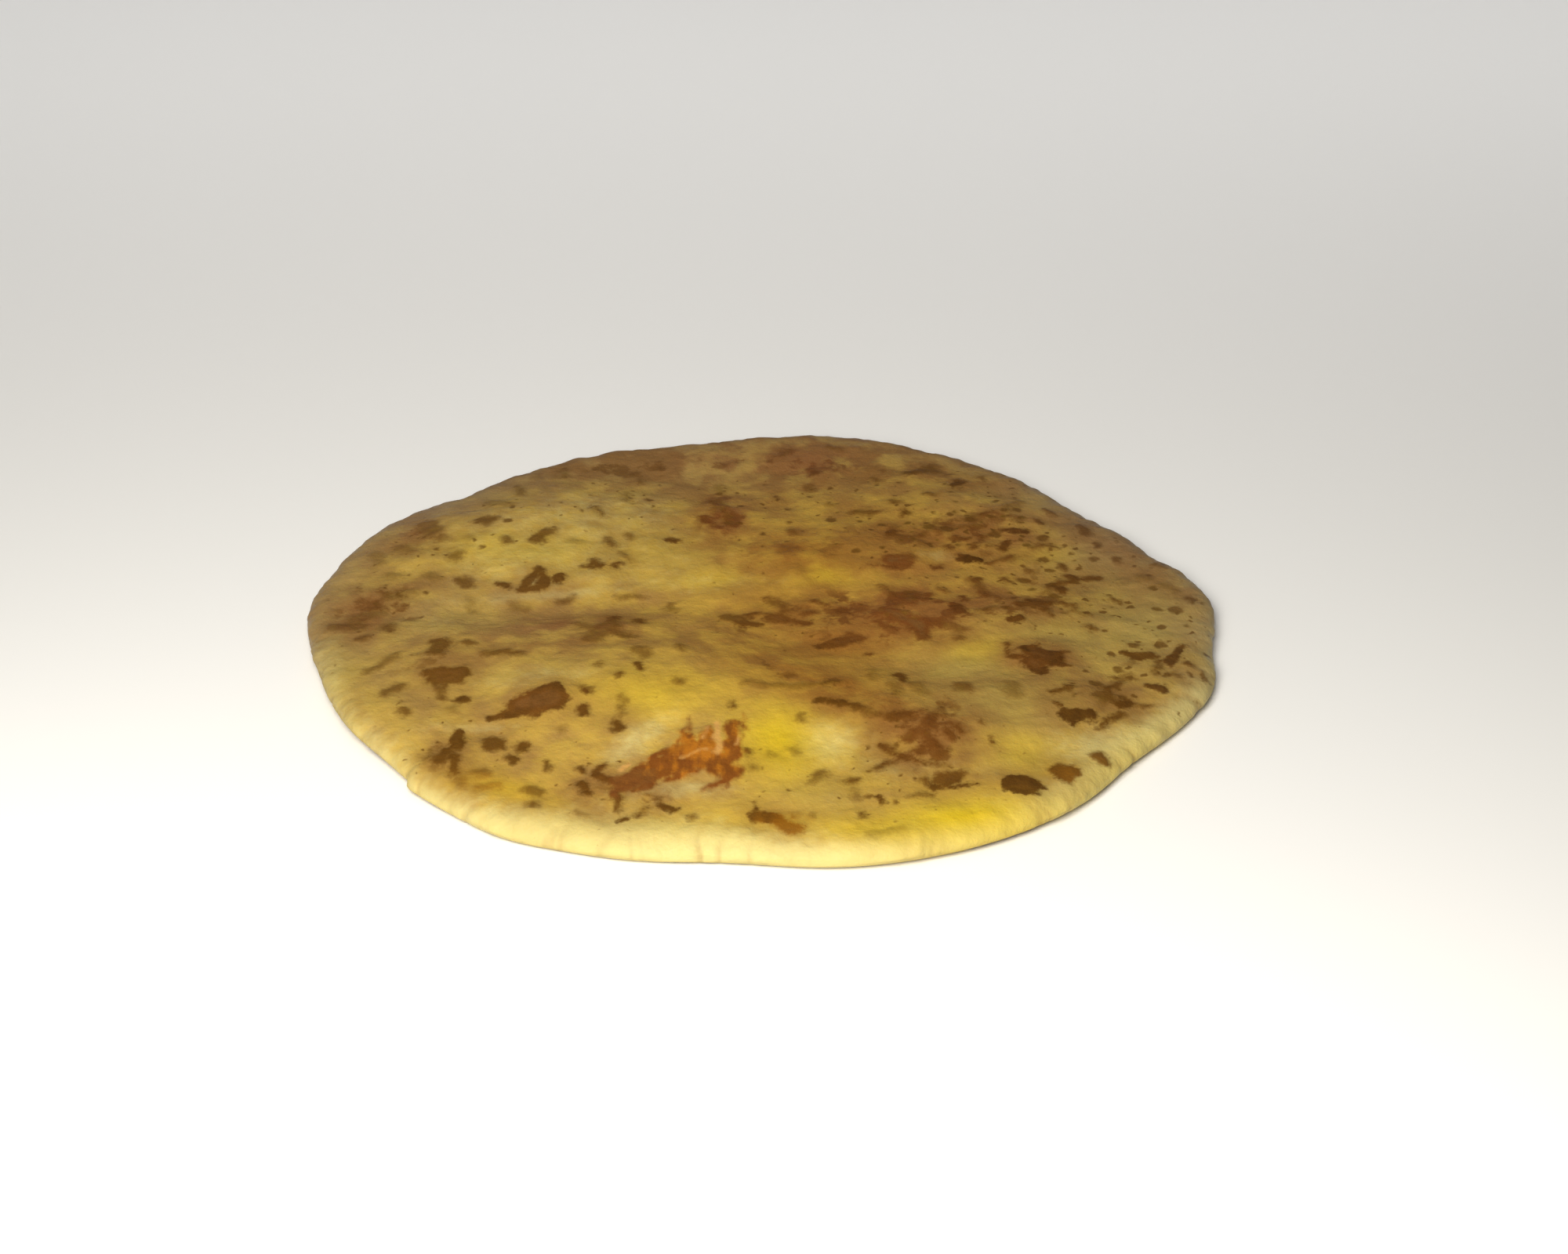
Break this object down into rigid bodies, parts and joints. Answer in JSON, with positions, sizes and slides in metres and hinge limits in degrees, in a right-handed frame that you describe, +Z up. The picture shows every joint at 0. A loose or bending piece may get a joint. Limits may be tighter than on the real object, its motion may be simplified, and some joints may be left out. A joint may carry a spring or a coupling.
{
  "type": "paratha",
  "caption": "Round stuffed flatbread with a soft thin rim, low puffs and browned griddle marks; it lies flat on its underside.",
  "frame": {"origin": "middle of the bread's box, on the level that its flat underside rests on", "axes": "+Z up through the thickness, +X to the right and -Y to the front of the bread as the picture shows it"},
  "size_m": [0.1806, 0.1758, 0.009],
  "materials": {
    "crust": "golden dough, lightly greased, with brown toasted marks"
  },
  "bodies": {
    "root": {"paratha": "crust"}
  },
  "joints": []
}
